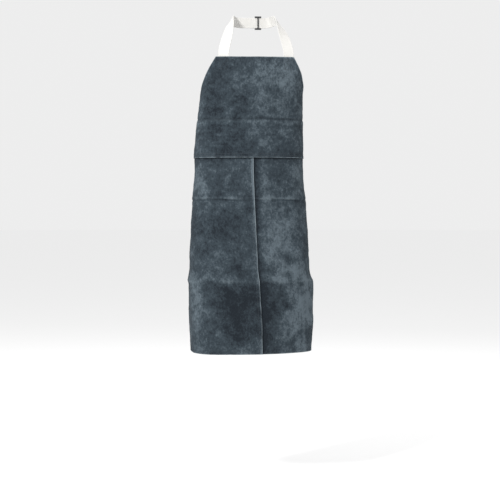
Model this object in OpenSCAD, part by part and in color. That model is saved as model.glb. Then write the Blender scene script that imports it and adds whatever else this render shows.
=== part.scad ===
// Split-leather welding apron: bib and two skirt panels, webbing neck loop,
// webbing waist belt with a side-release buckle at the back.
// Shown as worn. +X is the viewer's right, the front faces -Y, +Z is up.
// The origin is on the inner face of the neck loop, at the middle of the back of the neck.

/* [Leather] */
// Flat width of the apron at the waist and hem
leather_width = 600; // [580:5:640]
// Length from the bib's top edge to the hem
leather_length = 900; // [860:10:920]
// Thickness of the split leather
leather_t = 1.6; // [1.2:0.1:1.8]
// Flat width of the bib's top edge
bib_top_width = 238; // [234:2:250]
// Height of the bib, from its top edge to its lower raw edge
bib_height = 304; // [302:1:308]
// How far the bib laps over the skirt panels
waist_lap = 18; // [14:1:20]
// How far one skirt panel laps over the other at the centre
centre_lap = 12; // [8:1:16]
// How far the centre seam drifts to the viewer's right at the hem
seam_drift = 1; // [0:1:12]
// How far the skirt turns about the body between the waist and the hem, in degrees
hem_turn = 8; // [0:1:8]

/* [Webbing] */
// Width of the neck and belt webbing
webbing_w = 32; // [30:1:34]
// Thickness of the webbing
webbing_t = 2; // [1.6:0.1:2]
// Distance of each neck strap's middle from the bib's centre line, along the leather
strap_s = 99; // [97:1:101]
// Length of neck webbing sewn behind the bib
tail_length = 42; // [36:1:50]
// Height of the belt's middle below the bib's top edge
belt_v = 324; // [322:1:328]
// Length of belt webbing sewn behind each side edge
belt_tab = 44; // [40:1:50]

/* [Fittings] */
// Thickness of the buckle's outer walls
buckle_wall = 2; // [1.6:0.1:2.2]
// Length of the buckle's socket
socket_length = 34; // [32:1:36]
// Length of the neck slider along the webbing
slider_length = 20; // [18:1:22]
// Width of the belt keeper along the webbing
keeper_length = 8; // [6:1:10]

/* [Hidden] */
$fn = 48;

// The bib's top edge, at the front-most line and the waist's centre line, from the origin
bib_origin = [-17, -165, -120];
half_width = leather_width / 2;
waist_v = bib_height;
skirt_top_v = waist_v - waist_lap;
// Below the waist the section stays the same over the height of the belt
belt_low_v = 345;
// Fold lines left by packing, and the front's smaller bends, by length down the front
chest_v = 110;
crease_v = [188, 430, 680];
flare_v = 650;
taper_v = 820;
column_pitch = 20;
row_pitch = 45;

// How the leather wraps the body, by length down the front: [v, value]
front_radius = [[0, 700], [60, 380], [chest_v, 300], [188, 300], [skirt_top_v, 330],
                [belt_low_v, 330], [430, 345], [680, 500], [leather_length, 500]];
side_radius = [[0, 62], [chest_v, 62], [188, 71], [skirt_top_v, 77], [belt_low_v, 77], [430, 86],
               [flare_v, 88], [680, 98], [taper_v, 97], [leather_length, 90]];
tail_curve = [[0, 1 / 140], [belt_low_v, 1 / 140], [430, 1 / 250], [680, 1 / 2000],
              [leather_length, 1 / 4000]];
front_depth = [[0, 20], [60, 8], [chest_v, 0], [188, 5], [skirt_top_v, 0], [belt_low_v, 0],
               [430, 2], [680, -8], [leather_length, 12]];
// How far the leather hangs off the waist's centre line, to the viewer's right
side_shift = [[0, 13], [chest_v, 8], [skirt_top_v, 0], [belt_low_v, 0], [flare_v, 5], [680, 8],
              [taper_v, 15], [leather_length, 15]];
front_length = 120;
// The skirt turns about this depth behind the front
turn_depth = 95;

// Armhole: a quadratic curve from the bib's top corner to the side edge
armhole_mid = [178, 105];
armhole_end_v = 262;

// The two faces of each layer, as distances outwards from the middle surface
layer_gap = 0.4;
bib_layer = [layer_gap / 2, layer_gap / 2 + leather_t];
skirt_layer = [-layer_gap / 2 - leather_t, -layer_gap / 2];
lap_step = leather_t + layer_gap;
webbing_gap = 0.5;
stitch_gap = 0.25;
stitch_t = 0.5;
stitch_w = 1;

function degrees(r) = r * 180 / PI;
function steps(a, b, pitch) = let (n = max(1, ceil(abs(b - a) / pitch)))
    [for (i = [0:n]) a + (b - a) * i / n];
function joined(lists) = let (all = [for (l = lists) each l])
    [for (i = [0:len(all) - 1]) if (i == 0 || all[i] > all[i - 1]) all[i]];
function mirrored(p) = [-p[0], p[1], p[2]];
function unit(p) = p / norm(p);

// Place and heading of the leather at arc length s from the centre line, at length v down the front
function section(s, v) =
    let (rf = lookup(v, front_radius), rs = lookup(v, side_radius), rt = 1 / lookup(v, tail_curve),
         side_length = rs * (PI / 2 - front_length / rf),
         a1 = degrees(min(s, front_length) / rf),
         a2 = a1 + degrees(min(max(s - front_length, 0), side_length) / rs),
         a3 = a2 + degrees(max(s - front_length - side_length, 0) / rt))
    [rf * sin(a1) + rs * (sin(a2) - sin(a1)) + rt * (sin(a3) - sin(a2)),
     rf * (1 - cos(a1)) + rs * (cos(a1) - cos(a2)) + rt * (cos(a2) - cos(a3)),
     a3];

function turned(p, angle) =
    [p[0] * cos(angle) - (p[1] - turn_depth) * sin(angle),
     p[0] * sin(angle) + (p[1] - turn_depth) * cos(angle) + turn_depth];

// A point at (s, v) on the apron, moved out from its middle surface
function on_apron(s, v, out = 0) =
    let (c = section(abs(s), v), side = s < 0 ? -1 : 1,
         flat = [side * (c[0] + out * sin(c[2])),
                 c[1] - out * cos(c[2]) + lookup(v, front_depth)],
         angle = hem_turn * max(0, v - belt_low_v) / (leather_length - belt_low_v),
         p = turned(flat, angle))
    bib_origin + [p[0] + lookup(v, side_shift), p[1], -v];

function armhole(v) =
    let (a = armhole_end_v - 2 * armhole_mid[1], b = 2 * armhole_mid[1],
         t = v >= armhole_end_v ? 1 : (sqrt(b * b + 4 * a * v) - b) / (2 * a))
    pow(1 - t, 2) * bib_top_width / 2 + 2 * t * (1 - t) * armhole_mid[0] + t * t * half_width;

function seam_s(v) = seam_drift * max(0, v - waist_v) / (leather_length - waist_v);

// A closed skin between two grids of points, outer and inner, each a list of rows
module slab(outer, inner) {
    rows = len(outer);
    cols = len(outer[0]);
    n = rows * cols;
    points = concat([for (row = outer) for (p = row) p], [for (row = inner) for (p = row) p]);
    function at(r, c) = r * cols + c;
    faces = concat(
        [for (r = [0:rows - 2], c = [0:cols - 2]) each
            [[at(r, c), at(r, c + 1), at(r + 1, c + 1)], [at(r, c), at(r + 1, c + 1), at(r + 1, c)]]],
        [for (r = [0:rows - 2], c = [0:cols - 2]) each
            [[n + at(r, c), n + at(r + 1, c + 1), n + at(r, c + 1)],
             [n + at(r, c), n + at(r + 1, c), n + at(r + 1, c + 1)]]],
        [for (c = [0:cols - 2]) each
            [[at(0, c), n + at(0, c), n + at(0, c + 1)], [at(0, c), n + at(0, c + 1), at(0, c + 1)]]],
        [for (c = [0:cols - 2], r = rows - 1) each
            [[at(r, c), n + at(r, c + 1), n + at(r, c)], [at(r, c), at(r, c + 1), n + at(r, c + 1)]]],
        [for (r = [0:rows - 2]) each
            [[at(r, 0), n + at(r + 1, 0), n + at(r, 0)], [at(r, 0), at(r + 1, 0), n + at(r + 1, 0)]]],
        [for (r = [0:rows - 2], c = cols - 1) each
            [[at(r, c), n + at(r, c), n + at(r + 1, c)],
             [at(r, c), n + at(r + 1, c), at(r + 1, c)]]]);
    polyhedron(points, faces);
}

// A patch of the apron's surface between two distances out; across(v) is its list of s values
module patch(rows, across_rows, layer) {
    slab([for (r = [0:len(rows) - 1]) [for (s = across_rows[r]) on_apron(s, rows[r], layer[1])]],
         [for (r = [0:len(rows) - 1]) [for (s = across_rows[r]) on_apron(s, rows[r], layer[0])]]);
}

module bib_panel() {
    rows = joined([steps(0, chest_v, column_pitch), steps(chest_v, crease_v[0], column_pitch),
                   steps(crease_v[0], armhole_end_v, column_pitch), [skirt_top_v, waist_v]]);
    halves = half_width / column_pitch;
    color("slategray")
        patch(rows, [for (v = rows) [for (i = [-halves:halves]) armhole(v) * i / halves]], bib_layer);
}

skirt_rows = joined([[skirt_top_v], steps(waist_v, belt_low_v, row_pitch),
                     steps(belt_low_v, crease_v[1], row_pitch), steps(crease_v[1], flare_v, row_pitch),
                     steps(crease_v[2], taper_v, row_pitch), steps(taper_v, leather_length, row_pitch)]);
// Columns match the bib's, so that the lapped faces stay parallel
skirt_columns = [for (s = [column_pitch:column_pitch:half_width]) s];

// The viewer's left panel, on top at the centre
module skirt_panel_left() {
    color("slategray")
        patch(skirt_rows,
              [for (v = skirt_rows) concat([for (i = [len(skirt_columns) - 1:-1:0]) -skirt_columns[i]],
                                           [0, seam_s(v) + centre_lap / 2])],
              skirt_layer);
}

// The viewer's right panel steps in behind the left one
module skirt_panel_right() {
    start = skirt_columns[1];
    function step_in(s, v) = s < start ? lap_step * min(1, (start - s) / (start - column_pitch)) : 0;
    function across(v) = concat([seam_s(v) - centre_lap / 2, column_pitch],
                                [for (s = skirt_columns) if (s >= start) s]);
    color("slategray")
        slab([for (v = skirt_rows) [for (s = across(v)) on_apron(s, v, skirt_layer[1] - step_in(s, v))]],
             [for (v = skirt_rows) [for (s = across(v)) on_apron(s, v, skirt_layer[0] - step_in(s, v))]]);
}

function thread_layer(face) = [face + stitch_gap, face + stitch_gap + stitch_t];

// A line of stitching across the apron at length v
module stitch_across(v, s_values, face) {
    rows = [v - stitch_w / 2, v + stitch_w / 2];
    patch(rows, [s_values, s_values], thread_layer(face));
}

// A line of stitching down the apron, a fixed distance from a column
module stitch_down(rows, s_of_rows, face) {
    patch(rows, [for (s = s_of_rows) [s - stitch_w / 2, s + stitch_w / 2]], thread_layer(face));
}

// A box of stitching between s0 and s1, v0 and v1, with clear corners
module stitch_box(s0, s1, v0, v1, face) {
    stitch_across(v0, [s0, (s0 + s1) / 2, s1], face);
    stitch_across(v1, [s0, (s0 + s1) / 2, s1], face);
    for (s = [s0, s1])
        stitch_down([v0 + 2 * stitch_w, v1 - 2 * stitch_w], [s, s], face);
}

// Distances of the stitch rows from the edges that they hold
waist_rows = [12, 6];
seam_rows = 3;
end_inset = 4;

module waist_seam_stitching() {
    edge = half_width - end_inset;
    inner_columns = [for (s = [-half_width + column_pitch:column_pitch:half_width - column_pitch]) s];
    color("darkslategray")
        for (row = waist_rows)
            stitch_across(waist_v - row, concat([-edge], inner_columns, [edge]), bib_layer[1]);
}

module centre_seam_stitching() {
    rows = concat([waist_v + seam_rows],
                  [for (v = skirt_rows) if (v > waist_v && v < leather_length) v],
                  [leather_length - end_inset]);
    color("darkslategray")
        for (side = [-seam_rows, seam_rows])
            stitch_down(rows, [for (v = rows) seam_s(v) + side], skirt_layer[1]);
}

/* Neck loop */
hinge_gap = 9;
tail_top_v = -3;
strap_start_v = tail_top_v - hinge_gap;
// The straps are sewn this much further to the viewer's right than the bib's centre
strap_shift = 4;
tail_layer = [bib_layer[0] - webbing_gap - webbing_t, bib_layer[0] - webbing_gap];
tail_face = (tail_layer[0] + tail_layer[1]) / 2;

module strap_tail(side) {
    middle = side * strap_s + strap_shift;
    across = [middle - webbing_w / 2, middle, middle + webbing_w / 2];
    rows = [tail_top_v, 0, 20, tail_length];
    color("ivory")
        patch(rows, [for (v = rows) across], tail_layer);
}

module strap_tail_left() { strap_tail(-1); }
module strap_tail_right() { strap_tail(1); }

module tail_stitching(side) {
    middle = side * strap_s + strap_shift;
    reach = webbing_w / 2 - end_inset;
    color("darkslategray")
        stitch_box(middle - reach, middle + reach, 2 * end_inset, tail_length - end_inset,
                   bib_layer[1] + stitch_gap);
}

module tail_stitching_left() { tail_stitching(-1); }
module tail_stitching_right() { tail_stitching(1); }

// The webbing's middle line on the viewer's right, from the bib to the back of the neck,
// and the direction of its outer edge at each point
strap_start = on_apron(strap_s + strap_shift, strap_start_v, tail_face);
strap_route = [strap_start, [96, -134, -92], [88, -124, -62], [80, -103, -32], [74, -76, -9],
               [69, -46, 2], [62, -19, 3], [51, -2, 1], [40, webbing_t / 2, 0], [26, webbing_t / 2, 0]];
strap_lie = [[0.99, 0.145, 0], [0.99, 0.14, 0], [0.96, 0.24, -0.12], [0.84, 0.36, -0.4],
             [0.62, 0.25, -0.74], [0.45, 0.12, -0.88], [0.28, 0.2, -0.94],
             [0, 0, -1], [0, 0, -1], [0, 0, -1]];
loop_route = concat(strap_route, [for (i = [len(strap_route) - 1:-1:0]) mirrored(strap_route[i])]);
loop_lie = concat(strap_lie, [for (i = [len(strap_lie) - 1:-1:0]) mirrored(strap_lie[i])]);
ring_steps = 3;

function along(list, i, t) =
    let (n = len(list) - 1, p0 = list[max(i - 1, 0)], p1 = list[i], p2 = list[i + 1],
         p3 = list[min(i + 2, n)])
    0.5 * (2 * p1 + (p2 - p0) * t + (2 * p0 - 5 * p1 + 4 * p2 - p3) * t * t
           + (3 * p1 - p0 - 3 * p2 + p3) * t * t * t);

module neck_strap() {
    last = len(loop_route) - 2;
    spots = concat([for (i = [0:last], k = [0:ring_steps - 1]) [i, k / ring_steps]], [[last, 1]]);
    middle = [for (q = spots) along(loop_route, q[0], q[1])];
    lie = [for (q = spots) unit(along(loop_lie, q[0], q[1]))];
    n = len(middle) - 1;
    ahead = [for (i = [0:n]) unit(middle[min(i + 1, n)] - middle[max(i - 1, 0)])];
    out = [for (i = [0:n]) unit(cross(lie[i], ahead[i]))];
    wide = [for (i = [0:n]) cross(ahead[i], out[i]) * webbing_w / 2];
    color("ivory")
        slab([for (i = [0:n]) [for (w = [1, -1]) middle[i] + w * wide[i] + out[i] * webbing_t / 2]],
             [for (i = [0:n]) [for (w = [1, -1]) middle[i] + w * wide[i] - out[i] * webbing_t / 2]]);
}

// Ladder slider: two outer bars and a middle bar hold the straight webbing between them
slider_x = 18;
rail_t = 4;
bar_t = 2;
bar_l = 4;
fit_gap = 0.6;

module neck_slider() {
    rail_z = webbing_w / 2 + fit_gap;
    color("dimgray")
        translate([slider_x, webbing_t / 2, 0]) {
            for (z = [-rail_z - rail_t, rail_z])
                translate([-slider_length / 2, -webbing_t / 2 - fit_gap - bar_t, z])
                    cube([slider_length, webbing_t + 2 * fit_gap + 2 * bar_t, rail_t]);
            for (x = [-slider_length / 2, slider_length / 2 - bar_l])
                translate([x, webbing_t / 2 + fit_gap, -rail_z - 1])
                    cube([bar_l, bar_t, 2 * rail_z + 2]);
            translate([-bar_l / 2, -webbing_t / 2 - fit_gap - bar_t, -rail_z - 1])
                cube([bar_l, bar_t, 2 * rail_z + 2]);
        }
}

/* Belt and buckle */
belt_z = bib_origin[2] - belt_v;
belt_layer = [skirt_layer[0] - 0.8 - webbing_t, skirt_layer[0] - 0.8];
back_x = 92;
edge_section = section(half_width, belt_v);
// The belt's middle line, from the leather's side edge round to the straight back
belt_out = (belt_layer[0] + belt_layer[1]) / 2;
edge_point = [edge_section[0] + belt_out * sin(edge_section[2]),
              edge_section[1] - belt_out * cos(edge_section[2])];
back_radius = (edge_point[0] - back_x) / sin(edge_section[2]);
back_y = edge_point[1] + back_radius * (1 + cos(edge_section[2]));
bar_r = 1.9;
eye_gap = 0.3;
socket_bar_x = -36;
plug_bar_x = 22;
fold_gap = 0.1;
// Lengths of webbing folded back over the socket's bar and the plug's, and where the folds close
socket_fold = 36;
plug_fold = 62;
fold_close = 4;

// Outline of a strip that follows a list of points, with its thickness to either side
module strip(line, t) {
    n = len(line) - 1;
    side = [for (i = [0:n]) let (d = unit(line[min(i + 1, n)] - line[max(i - 1, 0)]))
        [d[1], -d[0]] * t / 2];
    polygon(concat([for (i = [0:n]) line[i] + side[i]], [for (i = [n:-1:0]) line[i] - side[i]]));
}

function belt_side_line() = concat(
    [for (s = steps(half_width - belt_tab, half_width, 5))
        let (c = section(s, belt_v)) [c[0] + belt_out * sin(c[2]), c[1] - belt_out * cos(c[2])]],
    [for (a = steps(edge_section[2] + 6, 180, 6))
        [edge_point[0] - back_radius * (sin(edge_section[2]) - sin(a)),
         edge_point[1] + back_radius * (cos(edge_section[2]) - cos(a))]]);

// One side of the belt on +X: sewn tab, bend, straight back, eye round the bar, folded end
module belt_outline(bar_x, fold) {
    eye_r = bar_r + eye_gap;
    difference() {
        union() {
            strip(concat(belt_side_line(), [[bar_x + eye_r, back_y]]), webbing_t);
            translate([bar_x, back_y]) circle(r = eye_r + webbing_t);
            translate([bar_x + eye_r, back_y + webbing_t / 2 + fold_gap])
                square([fold - eye_r, webbing_t]);
            translate([bar_x + eye_r, back_y - webbing_t / 2])
                square([fold_close, 2 * webbing_t + fold_gap]);
        }
        translate([bar_x, back_y]) circle(r = eye_r);
    }
}

module at_belt() {
    translate(bib_origin + [0, 0, -belt_v]) children();
}

module belt_left() {
    color("ivory")
        at_belt() translate([0, 0, -webbing_w / 2]) linear_extrude(webbing_w)
            mirror([1, 0]) belt_outline(-socket_bar_x, socket_fold);
}

module belt_right() {
    color("ivory")
        at_belt() translate([0, 0, -webbing_w / 2]) linear_extrude(webbing_w)
            belt_outline(plug_bar_x, plug_fold);
}

module belt_stitching(side) {
    inner = side * (half_width - belt_tab + 2 * end_inset);
    outer = side * (half_width - 2 * end_inset);
    color("darkslategray")
        stitch_box(min(inner, outer), max(inner, outer), belt_v - webbing_w / 2 + end_inset,
                   belt_v + webbing_w / 2 - end_inset, skirt_layer[1]);
}

module belt_stitching_left() { belt_stitching(-1); }
module belt_stitching_right() { belt_stitching(1); }

// Two rows across the folded end of the left belt, by distance from the socket's bar
fold_rows = [14, 28];

module belt_end_stitching() {
    color("darkslategray")
        at_belt()
            for (row = fold_rows)
                translate([socket_bar_x - row - stitch_w / 2,
                           back_y + 1.5 * webbing_t + fold_gap + stitch_gap, seam_rows - webbing_w / 2])
                    cube([stitch_w, stitch_t, webbing_w - 2 * seam_rows]);
}

buckle_w = 42;
buckle_t = 11;
side_wall = 4;
cavity_w = buckle_w - 2 * side_wall;
cavity_t = buckle_t - 2 * buckle_wall;
socket_mouth_x = 4;
socket_end_x = socket_mouth_x - socket_length;
window = [-18, -1];
arm_t = 4;
bar_frame = 4;
arm_tip = bar_r + 0.5;

// Two arms and a round bar that the webbing loops over
module webbing_bar(from_x, bar_x) {
    low = bar_x < from_x ? bar_x - arm_tip : from_x;
    for (z = [-buckle_w / 2, buckle_w / 2 - bar_frame])
        translate([low, -arm_t / 2, z]) cube([abs(bar_x - from_x) + arm_tip, arm_t, bar_frame]);
    translate([bar_x, 0, -buckle_w / 2 + 1]) cylinder(r = bar_r, h = buckle_w - 2);
}

module buckle_socket() {
    color("dimgray")
        at_belt() translate([0, back_y, 0]) {
            difference() {
                translate([socket_end_x, -buckle_t / 2, -buckle_w / 2])
                    cube([socket_length, buckle_t, buckle_w]);
                translate([socket_end_x + buckle_wall, -cavity_t / 2, -cavity_w / 2])
                    cube([socket_length, cavity_t, cavity_w]);
                translate([window[0], -cavity_t / 2, -buckle_w / 2 - 1])
                    cube([window[1] - window[0], cavity_t, buckle_w + 2]);
            }
            webbing_bar(socket_end_x + 1, socket_bar_x);
        }
}

plug_face_x = 6;
plug_depth = 10;
tongue_w = 8;
tongue_end_x = -24;
prong_t = 5;
// Inner and outer edges of a prong's root and tip, and its barb, from the buckle's middle line
prong_root = [8, 13];
prong_tip = [9, 12];
barb = [14, 19, 18];

module buckle_plug() {
    color("dimgray")
        at_belt() translate([0, back_y, 0]) {
            translate([plug_face_x, -buckle_t / 2, -buckle_w / 2])
                cube([plug_depth, buckle_t, buckle_w]);
            translate([tongue_end_x, -prong_t / 2, -tongue_w / 2])
                cube([plug_face_x + 1 - tongue_end_x, prong_t, tongue_w]);
            webbing_bar(plug_face_x + plug_depth - 1, plug_bar_x);
        }
}

// A springy arm with a barb that sits in the socket's side window
module prong(side) {
    root_x = plug_face_x - 0.8;
    tip_x = tongue_end_x + 2;
    outline = [[root_x, prong_root[0]], [root_x, prong_root[1]], [window[1] - 1, barb[0]],
               [window[1] - 2, barb[1]], [window[0] + 4, barb[2]], [tip_x, prong_tip[1]],
               [tip_x, prong_tip[0]], [window[0] + 5, prong_tip[0]]];
    color("gray")
        at_belt() translate([0, back_y + prong_t / 2, 0]) rotate([90, 0, 0])
            linear_extrude(prong_t)
                polygon([for (p = outline) [p[0], side * p[1]]]);
}

module prong_upper() { prong(1); }
module prong_lower() { prong(-1); }

keeper_x = 60;
keeper_wall = 1.8;

module belt_keeper() {
    clear_y = [back_y - webbing_t / 2 - fit_gap, back_y + 1.5 * webbing_t + fold_gap + fit_gap];
    clear_z = webbing_w / 2 + fit_gap;
    color("dimgray")
        at_belt() translate([keeper_x - keeper_length / 2, 0, 0])
            difference() {
                translate([0, clear_y[0] - keeper_wall, -clear_z - keeper_wall])
                    cube([keeper_length, clear_y[1] - clear_y[0] + 2 * keeper_wall,
                          2 * (clear_z + keeper_wall)]);
                translate([-1, clear_y[0], -clear_z])
                    cube([keeper_length + 2, clear_y[1] - clear_y[0], 2 * clear_z]);
            }
}

bib_panel();
skirt_panel_left();
skirt_panel_right();
waist_seam_stitching();
centre_seam_stitching();
neck_strap();
strap_tail_left();
strap_tail_right();
tail_stitching_left();
tail_stitching_right();
neck_slider();
belt_left();
belt_right();
belt_stitching_left();
belt_stitching_right();
belt_end_stitching();
buckle_socket();
buckle_plug();
prong_upper();
prong_lower();
belt_keeper();
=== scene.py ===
"""A split-leather welding apron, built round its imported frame: leather, stitching, webbing, fittings."""

import math

import bmesh
import bpy
import numpy as np
from mathutils import Matrix, Vector


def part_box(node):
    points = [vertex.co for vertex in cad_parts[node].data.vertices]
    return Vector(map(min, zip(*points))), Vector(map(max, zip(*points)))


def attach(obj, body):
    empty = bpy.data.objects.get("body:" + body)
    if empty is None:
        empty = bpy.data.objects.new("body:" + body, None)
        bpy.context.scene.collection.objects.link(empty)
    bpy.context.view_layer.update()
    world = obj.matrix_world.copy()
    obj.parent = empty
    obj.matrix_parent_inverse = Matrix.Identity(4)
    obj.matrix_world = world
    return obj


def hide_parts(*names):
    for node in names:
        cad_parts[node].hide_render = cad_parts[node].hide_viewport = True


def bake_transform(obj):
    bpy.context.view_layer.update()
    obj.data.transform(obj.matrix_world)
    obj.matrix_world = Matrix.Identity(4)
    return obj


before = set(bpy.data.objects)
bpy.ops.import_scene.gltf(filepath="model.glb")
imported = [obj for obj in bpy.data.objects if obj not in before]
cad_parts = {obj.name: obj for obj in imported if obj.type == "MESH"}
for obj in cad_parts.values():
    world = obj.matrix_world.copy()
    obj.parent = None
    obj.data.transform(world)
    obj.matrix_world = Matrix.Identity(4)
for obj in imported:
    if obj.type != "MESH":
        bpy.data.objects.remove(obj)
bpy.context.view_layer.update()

bl_info = {
    "name": "Welding apron",
    "version": (1, 0, 0),
    "blender": (4, 5, 0),
    "location": "View3D > Sidebar > Apron",
    "description": "Builds a split-leather welding apron round its packed frame",
    "category": "Add Mesh",
}

MM = 0.001
LOW, HIGH = 0, 1
X, Y, Z = 0, 1, 2


def box_mm(node):
    """A node's lowest and highest corners, in millimetres."""
    return [np.array(corner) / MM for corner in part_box(node)]


# ---- How the leather hangs, in millimetres: s runs along the leather from the centre line, v down
# the front from the bib's top edge.

LEATHER_T = 1.6
LAYER_GAP = 0.4
BIB_BOX = box_mm("bib_panel")
SKIRT_BOX = box_mm("skirt_panel_left")
TOP_Z = BIB_BOX[HIGH][Z]
FRONT_Y = BIB_BOX[LOW][Y] + LEATHER_T + LAYER_GAP / 2
LENGTH = TOP_Z - SKIRT_BOX[LOW][Z]
MIDDLE_X = sum(box_mm("waist_seam_stitching"))[X] / 2
HALF_WIDTH = 300.0
BIB_HEIGHT = TOP_Z - BIB_BOX[LOW][Z]
SKIRT_TOP = TOP_Z - SKIRT_BOX[HIGH][Z]
BIB_TOP_HALF = 119.0
CENTRE_LAP = 12.0
SEAM_DRIFT = 1.0
HEM_TURN = 8.0
TURN_DEPTH = 95.0
BELT_LOW = 345.0
WEBBING_HALF = 16.0
BELT_V = TOP_Z - box_mm("belt_left")[LOW][Z] - WEBBING_HALF
CREASES = (188.0, 430.0, 680.0)
FRONT_LENGTH = 120.0
ARMHOLE_MID = (178.0, 105.0)
ARMHOLE_END = 262.0

FRONT_RADIUS = ((0, 700), (60, 380), (110, 300), (188, 300), (286, 330), (345, 330), (430, 345),
                (680, 500), (900, 500))
SIDE_RADIUS = ((0, 62), (110, 62), (188, 71), (286, 77), (345, 77), (430, 86), (650, 88), (680, 98),
               (820, 97), (900, 90))
TAIL_CURVE = ((0, 1 / 140), (345, 1 / 140), (430, 1 / 250), (680, 1 / 2000), (900, 1 / 4000))
FRONT_DEPTH = ((0, 20), (60, 8), (110, 0), (188, 5), (286, 0), (345, 0), (430, 2), (680, -8), (900, 12))
SIDE_SHIFT = ((0, 13), (110, 8), (286, 0), (345, 0), (650, 5), (680, 8), (820, 15), (900, 15))

BIB_LAYER = (LAYER_GAP / 2, LAYER_GAP / 2 + LEATHER_T)
SKIRT_LAYER = (-LAYER_GAP / 2 - LEATHER_T, -LAYER_GAP / 2)
LAP_STEP = LEATHER_T + LAYER_GAP
THREAD_OUT = 0.15


def eased(table, v, reach=9.0):
    """A table's value at v, with its corners rounded off over twice the reach."""
    stops, values = zip(*table)
    return sum(np.interp(v + o, stops, values) for o in np.linspace(-reach, reach, 7)) / 7


def section(s, v):
    """Place and heading of the leather at arc length s, taken on the viewer's right."""
    rf, rs, rt = eased(FRONT_RADIUS, v), eased(SIDE_RADIUS, v), 1 / eased(TAIL_CURVE, v)
    side = rs * (math.pi / 2 - FRONT_LENGTH / rf)
    a1 = np.minimum(s, FRONT_LENGTH) / rf
    a2 = a1 + np.clip(s - FRONT_LENGTH, 0, side) / rs
    a3 = a2 + np.maximum(s - FRONT_LENGTH - side, 0) / rt
    x = rf * np.sin(a1) + rs * (np.sin(a2) - np.sin(a1)) + rt * (np.sin(a3) - np.sin(a2))
    y = rf * (1 - np.cos(a1)) + rs * (np.cos(a1) - np.cos(a2)) + rt * (np.cos(a2) - np.cos(a3))
    return x, y, a3


def bell(x, width):
    """1 at 0, falling smoothly to nothing past twice the width."""
    return np.exp(-((x / width) ** 2))


def waves(s, v, seed, count, shortest, longest):
    """A smooth, irregular surface between about -1 and 1, made of plane waves."""
    draw = np.random.RandomState(seed)
    total = 0
    for _ in range(count):
        length = shortest * (longest / shortest) ** draw.rand()
        turn, shift = draw.rand(2) * 2 * math.pi
        phase = 2 * math.pi * (s * math.cos(turn) + v * math.sin(turn)) / length + shift
        total = total + np.sin(phase) * math.sqrt(length / longest)
    return total / math.sqrt(count)


def crease_wander(s, number):
    """How far a packing crease strays from its straight line."""
    return 1.6 * waves(s, 0 * s, 30 + number, 5, 60, 300)


def from_creases(s, v):
    """How far below each packing crease a point lies; the creases wander a little."""
    return [v - c - crease_wander(s, i) for i, c in enumerate(CREASES)]


def relief(s, v):
    """How far the hung leather stands off its plain shape: folds from packing, billows, ripples."""
    first, second, third = from_creases(s, v)
    uneven = 0.75 + 0.35 * waves(s, v, 5, 6, 80, 240)
    folds = -1.5 * bell(first, 3) + 1.1 * bell(first - 9, 7) + 0.5 * bell(first + 9, 8)
    folds = folds + 1.7 * bell(second + 4, 4) - 1.6 * bell(second - 2.5, 3) + 0.6 * bell(second - 10, 6)
    folds = folds + 3.0 * np.exp(-np.abs(third) / 8) - 1.0 * bell(third - 16, 10)
    sway = 3.3 * np.clip((s - 120) / 90, 0, 1) / (1 + np.exp(-third / 4))
    sway = sway - 4.5 * np.clip((-s - 120) / 90, 0, 1) * bell(third - 15, 60)
    down = np.clip((v - BELT_LOW) / (LENGTH - BELT_LOW), 0, 1)
    billow = (1.8 + 3.4 * down) * waves(s, v * 0.25, 12, 7, 110, 380)
    ripple = 0.75 * waves(s, v, 21, 18, 26, 110) + 0.16 * waves(s, v, 22, 16, 8, 22)
    pucker = 0.35 * np.sin(s / 2.3 + 1.4 * waves(s, v, 8, 4, 30, 90)) * bell(v - BIB_HEIGHT + 6, 14)
    side_belt = bell(np.maximum(HALF_WIDTH - 40 - np.abs(s), 0), 30) * bell(v - BELT_V, 42)
    top = bell(v - 15, 40) * bell(np.abs(s) - 102, 40)
    still = 1 - np.maximum(side_belt, 0.7 * top)
    return (folds * uneven + billow + sway) * still + ripple * (1 - side_belt) + pucker * (1 - side_belt)


# Soft patches of painted light (above zero) and painted shade over the hung leather, mixed with pale and dark
# nap: s, v, half width, half height, amount
PAINTED_LIGHT_AND_NAP = ((95, 55, 45, 55, 0.24), (-35, 85, 60, 26, 0.15), (-120, 150, 46, 90, -0.20),
           (-30, 225, 34, 30, -0.16), (60, 235, 60, 40, 0.07), (0, 285, 220, 18, -0.08),
           (-110, 350, 90, 45, 0.12), (75, 350, 50, 45, -0.10), (165, 340, 22, 60, 0.16),
           (-120, 470, 40, 26, 0.13), (-200, 560, 40, 90, -0.14), (-60, 560, 70, 90, -0.10),
           (80, 560, 55, 110, 0.20), (-205, 770, 36, 130, 0.24), (-75, 790, 80, 95, -0.36),
           (30, 770, 34, 110, -0.24), (140, 790, 56, 125, 0.5), (110, 640, 70, 30, 0.10))


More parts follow.
